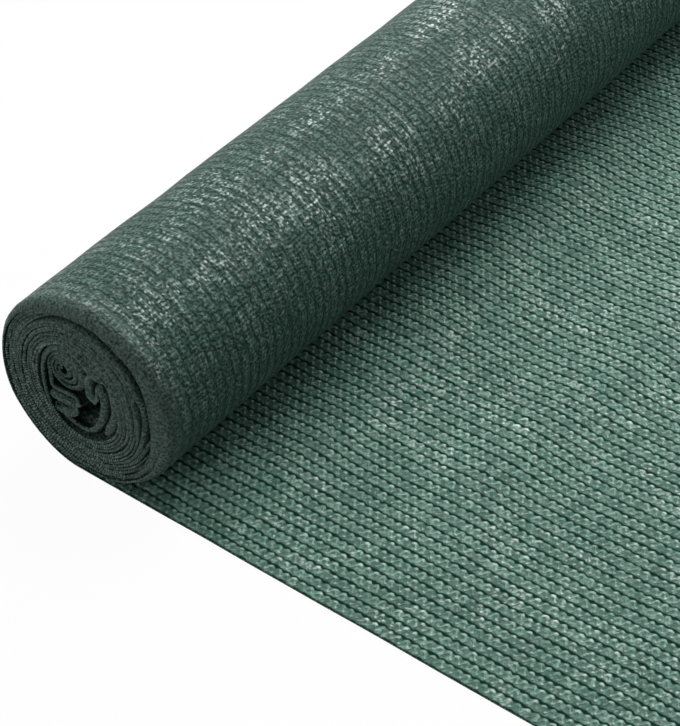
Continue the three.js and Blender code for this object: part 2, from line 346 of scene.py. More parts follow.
def wound_places(turns, across):
    """Middle of the net's thickness at those turns (a column) and places across it (a row)"""
    turns, across = np.broadcast_arrays(turns[:, None], across[None, :])
    radius = wound_radius(turns, across) + slack(turns, across)
    depth = wound_radius(turns % 1, across) - radius + NET_THICKNESS / 2

    # the lip bends in over the end; further in, each edge leans over the room to the next turn
    lip = lip_here(turns)
    nested = np.minimum(LIP["first"] + (1 - LIP["first"]) * depth / LIP["nest"], 1.0)
    frayed = 1 + LIP["fray"] * value_noise(FRAY["seed"], turns * FRAY["per_turn"])
    under_lip = np.maximum(lip - depth, 0.0)
    lip_reach = np.clip(lip * nested * frayed - depth, 0.0, under_lip)
    room = wound_radius(turns, across) - wound_radius(turns + 1, across) - NET_THICKNESS
    lean = np.maximum(room, 0.0) * inside(turns)
    full = np.maximum(under_lip, lean)
    reach = np.maximum(lip_reach, np.where(under_lip > lean, 0.0, lean))
    beside = np.exp(-np.maximum(depth - lip, 0.0) / LIP["trough"])
    back = LIP["axial"] * np.minimum(depth, lip) * beside + lying_back(turns)
    drawn_in, y = bend_over(across, reach, full, back)

    radius = radius - NET_THICKNESS / 2 - drawn_in + dents(turns, across)
    angle = 2 * np.pi * turns
    return np.stack([-radius * np.sin(angle), y, AXIS_HEIGHT - radius * np.cos(angle)], -1)


def evenly_along(route, step):
    """The same route, its places a step apart"""
    length = np.concatenate([[0], np.cumsum(np.linalg.norm(np.diff(route[:, :2], axis=0), axis=1))])
    at = np.linspace(0, length[-1], math.ceil(length[-1] / step) + 1)
    return np.stack([np.interp(at, length, column) for column in route.T], 1)


def bud_route():
    """Offsets from the roll's axis, and the places behind the end, of the net wound up round the pocket"""
    share = np.linspace(0, 1, round(BUD_POINTS * BUD["turns"]))
    angle = 2 * np.pi * (BUD["start"] + share * BUD["turns"])
    radius, back = (np.interp(share, (0, 1), BUD[key]) for key in ("radius", "back"))
    middle_x, middle_z = (np.interp(share, (0, 1), ends) for ends in zip(*BUD["middle"]))
    return np.stack([middle_x - radius * np.sin(angle), middle_z - radius * np.cos(angle), back], 1)


def crumpled_places(across):
    """The crumpled first length of the net, the same along the roll but for small shifts"""
    rows = np.concatenate([CRUMPLE, bud_route()])
    curve = smooth_through(rows, np.linspace(0, len(rows) - 1, CURVE_POINTS * len(rows)))
    route = evenly_along(curve, CRUMPLE_STEP)
    tangent = np.gradient(route[:, :2], axis=0)
    tangent /= np.linalg.norm(tangent, axis=1, keepdims=True)
    x, z, back = (column[:, None] for column in route.T)
    across = across[None, :] + 0 * x
    share = np.linspace(0, 1, len(route))[:, None] + 0 * across
    grown = smooth(share / FIRST_PART)
    from_edge = np.minimum(across, NET_WIDTH - across)

    stray = CRUMPLE_STRAY["out"] * (1 - np.exp(-from_edge / CRUMPLE_STRAY["fade"])) * grown
    patches = share * CRUMPLE_STRAY["patches"], across / CRUMPLE_STRAY["across"]
    shift_x, shift_z = (stray * value_noise(seed, *patches) for seed in CRUMPLE_STRAY["seeds"])
    lean = CRUMPLE_LEAN * grown
    drawn_in, y = bend_over(across, lean, lean, back + CRUMPLE_SINK * grown)
    x = x + (shift_x + drawn_in * tangent[:, 1:])
    z = z + (shift_z - drawn_in * tangent[:, :1])
    for hole in HOLES:
        off_x, off_z = x - hole["at"][0], z - hole["at"][1]
        close = np.exp(-(off_x**2 + off_z**2) / hole["reach"] ** 2)
        close = CLOSING_SHARE * close * smooth((from_edge - HOLE_RIM) / hole["depth"])
        x, z = x - close * off_x, z - close * off_z
    return np.stack([x, y, AXIS_HEIGHT + z], -1)


def lift(x, y):
    """Height of the loose end's underside above the ground"""
    from_edge = np.minimum(y, NET_WIDTH - y)
    rise = EDGE_LIFT_SHARE + (1 - EDGE_LIFT_SHARE) * smooth(from_edge / RIDGE_FADE)
    height = 0.0
    for ridge in RIDGES:
        swell = np.sin(2 * np.pi * (y / RIDGE_SWELL["every"] + ridge["phase"]))
        share = rise * (1 - RIDGE_SWELL["share"] + RIDGE_SWELL["share"] * swell)
        crest = ridge["at"] + ridge["drift"] * np.sin(2 * np.pi * (y / RIDGE_BEND + ridge["phase"]))
        height = height + ridge["height"] * share * hump(x - crest, ridge["half_width"])
    return height


def loose_places(along, across):
    """Middle of the thickness of the loose end, from its cut edge to under the roll"""
    along, across = np.broadcast_arrays(along[:, None], across[None, :])
    x = LOOSE_REACH - along
    from_edges = smooth(across / WANDER["edge"]) * smooth((NET_WIDTH - across) / WANDER["edge"])
    noise = value_noise(WANDER["seed"], x / WANDER["along"], across / WANDER["across"])
    y = across + WANDER["out"] * from_edges * noise
    return np.stack([x, y, lift(x, y) + NET_THICKNESS / 2], -1)


# ---------------------------------------------------------------- cloth as closed sheets
FRONT, BACK, EDGE = 0, 1, 2


def sheet_normals(places):
    """Directions in which the front of the sheet faces"""
    along = np.gradient(places, axis=0)
    across = np.gradient(places, axis=1)
    normal = np.cross(across, along)
    return normal / np.linalg.norm(normal, axis=-1, keepdims=True)


def grooves(across):
    """Depth of the grooves between the columns of stitches"""
    from_groove = np.minimum(across / WALE % 1, 1 - across / WALE % 1)
    return RIB_HEIGHT - RIB_HEIGHT * smooth(from_groove / GROOVE_SHARE)


def sheet_skin(places, across, ribs, bead):
    """Vertices of a thin sheet around those middle places: its two faces, then its rounded side edges, which
    are thicker by bead"""
    normals = sheet_normals(places)
    from_edge = np.minimum(across, NET_WIDTH - across)
    half = NET_THICKNESS / 2 * (1 + bead * np.exp(-((from_edge / BEAD["reach"]) ** 2)))
    groove = grooves(across) if ribs else np.zeros(len(across))
    front = places + normals * (half - groove)[..., None]
    back = places - normals * (half - OTHER_SIDE_SHARE * groove)[..., None]
    outward = np.zeros_like(places[:, [0, -1]])
    outward[:, 0] = places[:, 0] - places[:, 1]
    outward[:, 1] = places[:, -1] - places[:, -2]
    outward /= np.linalg.norm(outward, axis=-1, keepdims=True)
    rims = places[:, [0, -1]] + outward * EDGE_ROUND
    return np.concatenate([part.reshape(-1, 3) for part in (front, back, rims)])


def knit_places(along, across):
    """The place on the net of each of those vertices, in metres"""
    faces, rims = (
        np.stack(np.broadcast_arrays(along[:, None], row[None, :]), -1).reshape(-1, 2)
        for row in (across, across[[0, -1]])
    )
    return np.concatenate([faces, faces, rims]) * MM


def strip(a, b):
    """Quads between two lines of vertices"""
    return np.stack([a[:-1], a[1:], b[1:], b[:-1]], -1).reshape(-1, 4)


def sheet_faces(columns, rows):
    """Corners of the faces that close those vertices: quads of the two faces and of the edges, and a triangle
    at each corner of the sheet"""
    front = np.arange(columns * rows).reshape(columns, rows)
    back = front + columns * rows
    rim = 2 * columns * rows + np.arange(2 * columns).reshape(columns, 2)
    top = np.stack([front[:-1, :-1], front[:-1, 1:], front[1:, 1:], front[1:, :-1]], -1).reshape(-1, 4)
    bottom = np.stack([back[:-1, :-1], back[1:, :-1], back[1:, 1:], back[:-1, 1:]], -1).reshape(-1, 4)
    edges = [
        strip(front[:, 0], rim[:, 0]),
        strip(rim[:, 0], back[:, 0]),
        strip(rim[:, 1], front[:, -1]),
        strip(back[:, -1], rim[:, 1]),
        strip(back[0], front[0]),
        strip(front[-1], back[-1]),
    ]
    corners = [
        [front[0, 0], rim[0, 0], back[0, 0]],
        [front[-1, 0], back[-1, 0], rim[-1, 0]],
        [front[0, -1], back[0, -1], rim[0, 1]],
        [front[-1, -1], rim[-1, 1], back[-1, -1]],
    ]
    return top, bottom, np.concatenate(edges), np.array(corners)


def closed_sheet(name, places, along, across, materials, ribs=True, bead=0.0):
    """A thin closed sheet around those middle places (columns along the net, rows across it). Its map named
    knit holds the place on the net, for the stitches."""
    vertices = sheet_skin(places, across, ribs, bead)
    faces = sheet_faces(*places.shape[:2])
    corners = np.concatenate([part.reshape(-1) for part in faces])
    counts = np.concatenate([np.full(len(part), part.shape[1]) for part in faces])
    slots = np.repeat([FRONT, BACK, EDGE, EDGE], [len(part) for part in faces])

    mesh = bpy.data.meshes.new(name)
    mesh.vertices.add(len(vertices))
    mesh.vertices.foreach_set("co", to_row_frame(vertices).astype(np.float32).ravel())
    mesh.loops.add(len(corners))
    mesh.loops.foreach_set("vertex_index", corners.astype(np.int32))
    mesh.polygons.add(len(counts))
    mesh.polygons.foreach_set("loop_start", np.concatenate([[0], np.cumsum(counts)[:-1]]).astype(np.int32))
    mesh.polygons.foreach_set("material_index", slots.astype(np.int32))
    mesh.uv_layers.new(name="knit")
    knit = knit_places(along, across)[corners]
    mesh.uv_layers["knit"].uv.foreach_set("vector", knit.astype(np.float32).ravel())
    mesh.update(calc_edges=True)
    mesh.shade_smooth()
    for material in materials:
        mesh.materials.append(material)
    piece = bpy.data.objects.new(name, mesh)
    bpy.context.scene.collection.objects.link(piece)
    return piece


def length_along(places):
    """Length of the net's middle line up to each column, in millimetres"""
    middle = places[:, places.shape[1] // 2]
    steps = np.linalg.norm(np.diff(middle, axis=0), axis=1)
    return np.concatenate([[0], np.cumsum(steps)])


# ---------------------------------------------------------------- shader maths
# The plastic: dull below, with a thin shiny coat that shows as glints, over painted shade in the depth
# between the yarn
DULL = 0.55
GLOSS = 0.12
COAT_ROUGHNESS = 0.24
BETWEEN = (0.008, 0.036, 0.026, 1)
WHITE = (1, 1, 1, 1)

BEAD_FALL = 2.6  # how fast a bead falls away from its middle

# Sockets of a colour's Mix node
MIX_SHARE, MIX_LOW, MIX_HIGH, MIX_COLOUR = 0, 6, 7, 2


class Value:
    """A number that varies over a surface. Arithmetic on it adds Math nodes to its finish."""

    def __init__(self, finish, socket):
        self.finish = finish
        self.socket = socket

    def math(self, operation, *others):
        inputs = dict(enumerate((self, *others)))
        return self.finish.node("ShaderNodeMath", {"operation": operation}, inputs)

    def __add__(self, other):
        return self.math("ADD", other)

    def __mul__(self, other):
        return self.math("MULTIPLY", other)

    def __sub__(self, other):
        return self.math("SUBTRACT", other)

    def __truediv__(self, other):
        return self.math("DIVIDE", other)

    def __pow__(self, power):
        return self.math("POWER", power)

    def __rsub__(self, other):
        return self * -1 + other

    __radd__ = __add__
    __rmul__ = __mul__

    def abs(self):
        return self.math("ABSOLUTE")

    def floor(self):
        return self.math("FLOOR")

    def part(self):
        return self.math("FRACT")

    def wave(self):
        """A wave that is 1 at every whole number and -1 halfway between them"""
        return (self * (2 * math.pi)).math("COSINE")

    def least(self, other):
        return self.math("MINIMUM", other)

    def most(self, other):
        return self.math("MAXIMUM", other)

    def between(self, low, high):
        """From low where this is 0 to high where it is 1, in a straight line"""
        return self * (high - low) + low

    def step(self, low, high):
        """From 0 at low to 1 at high, softly"""
        span = {"Value": self, "From Min": low, "From Max": high}
        return self.finish.node("ShaderNodeMapRange", {"interpolation_type": "SMOOTHSTEP"}, span)


class Finish:
    """One material and its nodes"""

    def __init__(self, tree):
        self.tree = tree
        tree.nodes.clear()

    def node(self, kind, settings, inputs, output=0):
        """Adds a node, sets it up, joins or sets its sockets, and gives one of its outputs"""
        node = self.tree.nodes.new(kind)
        for key, value in settings.items():
            setattr(node, key, value)
        for key, value in inputs.items():
            if isinstance(value, Value):
                self.tree.links.new(value.socket, node.inputs[key])
            else:
                node.inputs[key].default_value = value
        return Value(self, node.outputs[output]) if output is not None else None

    def net_place(self):
        """Place on the net in stitch rows along it and stitch columns across it"""
        place = self.node("ShaderNodeUVMap", {"uv_map": "knit"}, {})
        along = self.node("ShaderNodeSeparateXYZ", {}, {"Vector": place}, "X")
        across = self.node("ShaderNodeSeparateXYZ", {}, {"Vector": place}, "Y")
        return place, along / (COURSE * MM), across / (WALE * MM)

    def from_side_edge(self):
        """Distance from the nearer side edge of the net, in metres"""
        place = self.node("ShaderNodeUVMap", {"uv_map": "knit"}, {})
        across = self.node("ShaderNodeSeparateXYZ", {}, {"Vector": place}, "Y")
        return across.least(NET_WIDTH * MM - across)

    def noise(self, place, per_metre, detail=1.0):
        """Smooth noise from 0 to 1 over the net"""
        inputs = {"Vector": place, "Scale": per_metre, "Detail": detail}
        return self.node("ShaderNodeTexNoise", {"noise_dimensions": "2D"}, inputs)

    def chance(self, column, row, seed):
        """A random number from 0 to 1 for each stitch"""
        cell = self.node("ShaderNodeCombineXYZ", {}, {"X": column, "Y": row, "Z": seed})
        return self.node("ShaderNodeTexWhiteNoise", {"noise_dimensions": "3D"}, {"Vector": cell}, "Value")

    def beads(self, along, across, stray):
        """Beads on an uneven lattice: 1 in the middle of a bead to 0 around it, and its random numbers"""
        place = self.node("ShaderNodeCombineXYZ", {}, {"X": along, "Y": across})
        inputs = {"Vector": place, "Scale": 1.0, "Randomness": stray}
        off = self.node("ShaderNodeTexVoronoi", {"voronoi_dimensions": "2D"}, inputs, "Distance")
        colour = Value(self, off.socket.node.outputs["Color"])
        numbers = [self.node("ShaderNodeSeparateXYZ", {}, {"Vector": colour}, axis) for axis in "XYZ"]
        return (1 - off * off * BEAD_FALL).most(0), numbers

    def blend(self, share, low, high):
        """A colour between two colours"""
        inputs = {MIX_SHARE: share, MIX_LOW: low, MIX_HIGH: high}
        return self.node("ShaderNodeMix", {"data_type": "RGBA"}, inputs, MIX_COLOUR)

    def knitted(self, colour, shine, height, depth, yarn):
        """Dull plastic yarn standing up by depth millimetres, shiny where shine is 1, and painted shade of
        the depth between it where yarn is 0"""
        normal = self.node("ShaderNodeBump", {}, {"Height": height, "Distance": depth * MM, "Strength": 1.0})
        inputs = {"Base Color": colour, "Roughness": DULL, "Normal": normal, "Specular IOR Level": GLOSS}
        inputs |= {"Coat Weight": shine, "Coat Roughness": COAT_ROUGHNESS}
        plastic = self.node("ShaderNodeBsdfPrincipled", {}, inputs)
        between = self.node("ShaderNodeBsdfDiffuse", {}, {"Color": BETWEEN})
        surface = self.node("ShaderNodeMixShader", {}, {0: yarn, 1: between, 2: plastic})
        self.node("ShaderNodeOutputMaterial", {}, {"Surface": surface}, None)


def new_finish(name):
    material = bpy.data.materials.new(name)
    material.use_nodes = True
    return material, Finish(material.node_tree)


# ---------------------------------------------------------------- what both sides of the knit share
# In the values of the finishes, places up a stitch column are shares of it, from the line between columns.
# Sizes are in millimetres, and noise is in patches per metre. A pair is what something grows from and to by a
# chance or by noise, or the span in which a soft edge rises.
ROW_DRIFT = {"patches": 26, "rows": (-0.4, 0.4)}
SPECKS = {"patches": 560, "edge": (0.3, 0.7)}
SHEEN = 0.03
# Painted highlight: the colour turns towards this pale tint where the yarn shines
PAINTED_GLINT = (0.7, 0.85, 0.78, 1)
PAINTED_GLINT_SHARE = 0.55

# The rolled-in side edges: distances from the very edge in metres, and loose greyer loops like fluff
NEAR_EDGE = (0.004, 0.018)
RIM = (0.003, 0.012)
FLUFF = {"patches": 680, "edge": (0.25, 0.75), "gap": (0.0, 0.5), "open": 0.35}
RIM_DARK = (0.016, 0.03, 0.025, 1)
RIM_LIGHT = (0.178, 0.272, 0.238, 1)


def uneven_rows(net, place, along):
    """Stitch rows along the net, drifting a little as knitting does"""
    return along + net.noise(place, ROW_DRIFT["patches"], 2).between(*ROW_DRIFT["rows"])


def spot(x, y, radius):
    """1 in the middle of a round spot, 0 outside it"""
    return (1 - (x * x + y * y) / radius**2).most(0)


def ridge(off, half):
    """1 on the middle line of a ridge, 0 from its half-width on"""
    return (1 - (off / half) ** 2).most(0)


def specks(net, place):
    return net.noise(place, SPECKS["patches"]).step(*SPECKS["edge"])


def side_edge(net, place):
    """1 on the side edges to 0 away from them, and the fluff and its gaps there"""
    near = 1 - net.from_side_edge().step(*NEAR_EDGE)
    fluff = net.noise(place, FLUFF["patches"]).step(*FLUFF["edge"])
    gaps = near * (1 - fluff.step(*FLUFF["gap"])) * FLUFF["open"]
    return near, fluff, gaps


def weighted(heights, **parts):
    """The height that those parts of a stitch make together"""
    return sum(parts[name] * share for name, share in heights.items())


def colour_with_painted_glints(net, light, shine, dark, pale):
    """The yarn's colour by its light, with a painted highlight: paler where it shines"""
    colour = net.blend(light.least(1), dark, pale)
    return net.blend((shine - SHEEN) * PAINTED_GLINT_SHARE, colour, PAINTED_GLINT)


# ---------------------------------------------------------------- the side with whole loops
# The dark line between columns, painted shade in the groove there
LINE = {
    "wander": (-0.08, 0.08),
    "wander_patches": 150,
    "wave": (0.022, 0.088),
    "wave_patches": 120,
    "half": (0.0098, 0.1862),
    "half_patches": 230,
    "swell": 0.4,
    "edge": (-0.06, 0.08),
}
# The tape's legs, two to a stitch, the loops' heads and feet that they join, and how high each part stands.
# The heads' and feet's bright pairs are painted highlights
LEG = {"lean": (-1.0, 1.2), "lean_patches": 130, "half": 0.8, "slope": 1.13}
HEAD = {"up": 0.74, "radius": 1.1, "squeeze": 0.8, "bright": (0.1, 1.05), "glints": (0.4, 0.9)}
FOOT = {"up": 0.33, "radius": 1.0, "bright": (0.2, 1.3), "glints": (0.3, 0.8)}
TAPE_HEIGHTS = {"tape": 0.2, "spots": 0.85, "turned": 1.0, "tipped": 0.8, "speck": 0.15}
TAPE_DEPTH = 0.9
# Painted light on the legs and painted highlights on heads and feet, painted shade inside and beside the
# loops, wide patches, and the fluff on rolled-in edges
TAPE_DARK = (0.023, 0.088, 0.064, 1)
TAPE_LIGHT = (0.3, 0.505, 0.42, 1)
TAPE_BRIGHT = {"plain": 0.37, "stroke": 0.3, "leg": (0.65, 1.35), "speck": (0.75, 1.25), "spots": 0.7}
LEG_STROKE = {"half": 0.526, "bright_above": 0.35}
SHADE = {"inside_up": 0.46, "beside_up": 0.72, "radius": 1.3, "by_chance": (0.4, 1.2), "share": 0.75}
TAPE_PATCHES = {"patches": 22, "bright": (0.8, 1.3)}
TAPE_EDGE = {"share": 0.85, "bright": (0.14, 0.44)}
# Glints
TAPE_GRAIN = {"along": 2.6, "across": 3.4, "stray": 0.8, "glints": (0.7, 0.85)}
TAPE_SHINE = {"patches": 30, "edge": (0.44, 0.68), "amount": (0.2, 0.6)}

TAPE_SEEDS = {"leg": 1, "turned": 2, "tipped": 3, "head": 9, "foot": 10}


def columns_and_line(net, place, along, columns):
    """The stitch columns as they wander and wave, and the yarn with the dark line of painted shade left
    between them
    """
    wander = net.noise(place, LINE["wander_patches"]).between(*LINE["wander"])
    wave = net.noise(place, LINE["wave_patches"]).between(*LINE["wave"])
    columns = columns + wander + along.wave() * wave
    up = columns.part()
    half = net.noise(place, LINE["half_patches"]).between(*LINE["half"]) * (1 + LINE["swell"] * along.wave())
    return columns, (up.least(1 - up) - half).step(*LINE["edge"])


def whole_loops(net, place, along, columns):
    """The parts of each stitch: places on it, its own chances, its head and foot, and its height"""
    loop = SimpleNamespace(up=columns.part(), columns=columns)
    band, up = columns.floor(), loop.up
    loop.along = along + (up - 0.5) * net.noise(place, LEG["lean_patches"]).between(*LEG["lean"])
    leg = (loop.along * 2).floor()
    loop.leg_x = (loop.along * 2).part() - 0.5
    loop.head_x = (loop.along.part() - 0.5) * COURSE
    loop.foot_x = ((loop.along + 0.5).part() - 0.5) * COURSE
    loop.leg_chance = net.chance(leg, band, TAPE_SEEDS["leg"])
    loop.head_chance = net.chance(loop.along.floor(), band, TAPE_SEEDS["head"])
    loop.foot_chance = net.chance((loop.along + 0.5).floor(), band, TAPE_SEEDS["foot"])
    loop.head = spot(loop.head_x * HEAD["squeeze"], (up - HEAD["up"]) * WALE, HEAD["radius"])
    loop.foot = spot(loop.foot_x, (up - FOOT["up"]) * WALE, FOOT["radius"])
    loop.spots = loop.head * loop.head_chance.between(*HEAD["bright"])
    loop.spots = loop.spots + loop.foot * loop.foot_chance.between(*FOOT["bright"])
    loop.speck = specks(net, place)

    turned = net.chance(leg, band, TAPE_SEEDS["turned"]) - 0.5
    tipped = net.chance(leg, band, TAPE_SEEDS["tipped"]) - 0.5
    loop.height = weighted(
        TAPE_HEIGHTS,
        tape=ridge((up - HEAD["up"]) * WALE + loop.head_x.abs() * LEG["slope"], LEG["half"]),
        spots=loop.spots,
        turned=turned * loop.leg_x,
        tipped=tipped * up,
        speck=loop.speck,
    )
    return loop


def light_on_loops(net, place, loop):
    """A painted stroke of light on each leg, painted highlights on heads and feet, and painted shade inside
    and beside the loops
    """
    stroke = ridge(loop.leg_x, 0.5) * ridge(loop.up - 0.5, LEG_STROKE["half"])
    stroke = stroke * (loop.leg_chance - LEG_STROKE["bright_above"])
    inside_loop = spot(loop.head_x, (loop.up - SHADE["inside_up"]) * WALE, SHADE["radius"])
    beside_loop = spot(loop.foot_x, (loop.up - SHADE["beside_up"]) * WALE, SHADE["radius"])
    shade = inside_loop * loop.leg_chance.between(*SHADE["by_chance"])
    shade = shade + beside_loop * loop.foot_chance.between(*SHADE["by_chance"])
    light = TAPE_BRIGHT["plain"] + TAPE_BRIGHT["stroke"] * stroke
    light = light * loop.leg_chance.between(*TAPE_BRIGHT["leg"]) * loop.speck.between(*TAPE_BRIGHT["speck"])
    # the spots add painted highlights on the loop heads and feet
    light = light * (1 - SHADE["share"] * shade) + TAPE_BRIGHT["spots"] * loop.spots
    return light * net.noise(place, TAPE_PATCHES["patches"]).between(*TAPE_PATCHES["bright"])


def shine_of_loops(net, place, loop):
    """Glints on heads, feet and single grains of the tape"""
    grain_x, grain_y = loop.along * TAPE_GRAIN["along"], loop.columns * TAPE_GRAIN["across"]
    grain, numbers = net.beads(grain_x, grain_y, TAPE_GRAIN["stray"])
    chosen = loop.head * loop.head_chance.step(*HEAD["glints"])
    chosen = chosen + loop.foot * loop.foot_chance.step(*FOOT["glints"])
    chosen = chosen + grain * numbers[1].step(*TAPE_GRAIN["glints"])
    patch = net.noise(place, TAPE_SHINE["patches"], 2).step(*TAPE_SHINE["edge"])
    return (SHEEN + chosen * patch.between(*TAPE_SHINE["amount"])).least(1)


def tape_side(name, wound):
    """The side that shows whole loops: in each stitch a loop head, from which the tape runs down on both
    sides to the feet between the heads, with a dark wavy line over the heads. On wound turns the loops are
    loose and uneven near the side edges."""
    material, net = new_finish(name)
    place, along, columns = net.net_place()
    along = uneven_rows(net, place, along)
    columns, yarn = columns_and_line(net, place, along, columns)
    loop = whole_loops(net, place, along, columns)
    light = light_on_loops(net, place, loop)
    shine = shine_of_loops(net, place, loop)
    dark, pale = TAPE_DARK, TAPE_LIGHT
    if wound:
        near, fluff, gaps = side_edge(net, place)
        yarn = yarn.most(near) * (1 - gaps)
        light = light * (1 - near * TAPE_EDGE["share"]) + near * fluff.between(*TAPE_EDGE["bright"])
        dark, pale = net.blend(near, TAPE_DARK, RIM_DARK), net.blend(near, TAPE_LIGHT, RIM_LIGHT)
    net.knitted(colour_with_painted_glints(net, light, shine, dark, pale), shine, loop.height, TAPE_DEPTH, yarn)
    return material


# ---------------------------------------------------------------- the side with the laid tapes
# Upright strokes, two to a stitch row, and how high each part stands
COLUMN_WANDER = {"patches": 130, "out": (-0.11, 0.11)}
STROKE = {"up": 0.45, "lean": (-1.1, 1.1), "lean_patches": 70, "half": 0.435}
LOOP_HEIGHTS = {"stroke": 0.45, "turned": 1.2, "tipped": 0.8, "speck": 0.6}
LOOP_DEPTH = 0.65
# Small holes between the strokes, and a faint line between the columns, both in painted shade
STROKE_HOLE = {"radius": 0.85, "by_chance": (0.1, 0.8), "open": 0.8}
FAINT_LINE = {"patches": 200, "shown": (0.4, 0.65), "edge": (0.01, 0.08), "open": 0.35}
# Light on the strokes, broken by specks, by patches and by dark dots
LOOP_DARK = (0.007, 0.027, 0.021, 1)
LOOP_LIGHT = (0.11, 0.208, 0.171, 1)
LOOP_BRIGHT = {"plain": 0.36, "more": 0.6, "swell": 0.12, "stroke": 0.85, "edge": 0.3, "edge_loss": 0.5}
LOOP_SPECK = {"low": 0.25, "edge_low": 0.2, "rise": 1.2, "edge_rise": -0.5}
LOOP_PATCHES = {"patches": 160, "bright": (0.7, 1.3)}
DOTS = {"edge": (0.3, 0.7), "by_chance": (0.75, 0.9), "share": 0.7}
# Glints on the tips of strokes, on single grains and on threads along the column
LOOP_GRAIN = {"along": 1.3, "across": 4.4, "stray": 0.9, "glints": (0.72, 0.87)}
TIP = {"along": 0.75, "across": 0.55, "radius": 0.8, "shift": 0.3, "by_chance": (0.45, 0.9), "share": 0.8}
THREAD = {"half": 0.45, "patches": 95, "shown": (0.42, 0.58), "share": 0.4}
# LOOP_SHINE's bright share is the painted sheen on the colour of those bands
LOOP_SHINE = {"patches": 34, "edge": (0.3, 0.7), "plain": 0.3, "bright": 0.15, "amount": (0.1, 0.85)}
# Where the outer turn catches most of the light, in stitch rows along the net: middle and half-width. There
# the yarn has more coat and a painted sheen
GLOSS_AND_SHEEN_BANDS = [(111.5, 4.5), (121.8, 6.0)]

LOOP_SEEDS = {"stroke": 4, "turned": 6, "tipped": 7}


def laid_strokes(net, place, along, columns):
    """The parts of each stroke: places on it, its own chances, grains, specks and fluff, and its height"""
    laid = SimpleNamespace(columns=columns)
    band, up = columns.floor(), columns.part()
    laid.off_middle = up - STROKE["up"]
    laid.off_line = up.least(1 - up)
    lean = net.noise(place, STROKE["lean_patches"]).between(*STROKE["lean"])
    strokes = along * 2 + laid.off_middle * lean
    laid.x = strokes.part() - 0.5
    laid.chance = net.chance(strokes.floor(), band, LOOP_SEEDS["stroke"])
    laid.turned = net.chance(strokes.floor(), band, LOOP_SEEDS["turned"]) - 0.5
    laid.stroke = ridge(laid.x, 0.5) * ridge(laid.off_middle, STROKE["half"])
    grain_x, grain_y = strokes * LOOP_GRAIN["along"], columns * LOOP_GRAIN["across"]
    laid.grain, laid.numbers = net.beads(grain_x, grain_y, LOOP_GRAIN["stray"])
    laid.near, fluff, laid.gaps = side_edge(net, place)
    speck = specks(net, place)
    laid.speck = speck + (fluff - speck) * laid.near

    tipped = net.chance(strokes.floor(), band, LOOP_SEEDS["tipped"]) - 0.5
    laid.height = weighted(
        LOOP_HEIGHTS,
        stroke=laid.stroke,
        turned=laid.turned * laid.x,
        tipped=tipped * (up - 0.5),
        speck=laid.speck,
    )
    laid.glossy = sum(ridge(along - middle, half) for middle, half in GLOSS_AND_SHEEN_BANDS)
    return laid


def yarn_of_strokes(net, place, laid):
    """1 on the yarn, less in the holes between strokes, on the faint line and in the gaps of the fluff"""
    hole = spot((0.5 - laid.x.abs()) * COURSE / 2, laid.off_line * WALE, STROKE_HOLE["radius"])
    hole = hole * laid.chance.step(*STROKE_HOLE["by_chance"]) * STROKE_HOLE["open"]
    shown = net.noise(place, FAINT_LINE["patches"]).step(*FAINT_LINE["shown"])
    line = (1 - laid.off_line.step(*FAINT_LINE["edge"])) * shown * FAINT_LINE["open"]
    return (1 - (hole.most(line) * (1 - laid.near)).most(laid.gaps)).most(0)


def light_on_strokes(net, place, laid):
    """Brighter along the strokes, broken by specks, patches and dark dots, and brighter still as painted
    sheen on the bands where the outer turn catches most light
    """
    swell = 0.5 - 0.5 * (laid.columns - STROKE["up"] + 0.5).wave()
    bright = swell * LOOP_BRIGHT["swell"] + laid.stroke * laid.chance * LOOP_BRIGHT["stroke"]
    bright = bright * (1 - LOOP_BRIGHT["edge_loss"] * laid.near) + LOOP_BRIGHT["edge"] * laid.near
    rise = LOOP_SPECK["rise"] + LOOP_SPECK["edge_rise"] * laid.near
    light = LOOP_SPECK["low"] + LOOP_SPECK["edge_low"] * laid.near + rise * laid.speck
    light = light * (LOOP_BRIGHT["plain"] + LOOP_BRIGHT["more"] * bright)
    light = light * net.noise(place, LOOP_PATCHES["patches"]).between(*LOOP_PATCHES["bright"])
    dots = laid.grain.step(*DOTS["edge"]) * laid.numbers[2].step(*DOTS["by_chance"])
    # painted sheen: the colour is brighter on the bands where the outer turn catches most light
    return light * (1 - DOTS["share"] * dots) * (1 + LOOP_SHINE["bright"] * laid.glossy)


def shine_of_strokes(net, place, laid):
    """Glints on tips, grains and threads, most of them on the bands where the outer turn catches most light
    and none on the very edge
    """
    tip_up = (laid.off_middle + laid.turned * TIP["shift"]) * WALE * TIP["across"]
    tip = spot(laid.x * COURSE * TIP["along"], tip_up, TIP["radius"]) * laid.chance.step(*TIP["by_chance"])
    shown = net.noise(place, THREAD["patches"]).step(*THREAD["shown"])
    thread = ridge(laid.off_middle * WALE, THREAD["half"]) * shown
    grain = laid.grain * laid.numbers[1].step(*LOOP_GRAIN["glints"])
    chosen = tip * TIP["share"] + grain + thread * THREAD["share"]
    patch = net.noise(place, LOOP_SHINE["patches"], 2).step(*LOOP_SHINE["edge"])
    patch = patch * (LOOP_SHINE["plain"] + laid.glossy)
    off_rim = net.from_side_edge().step(*RIM)
    return (SHEEN + chosen * patch.between(*LOOP_SHINE["amount"]) * off_rim).least(1)


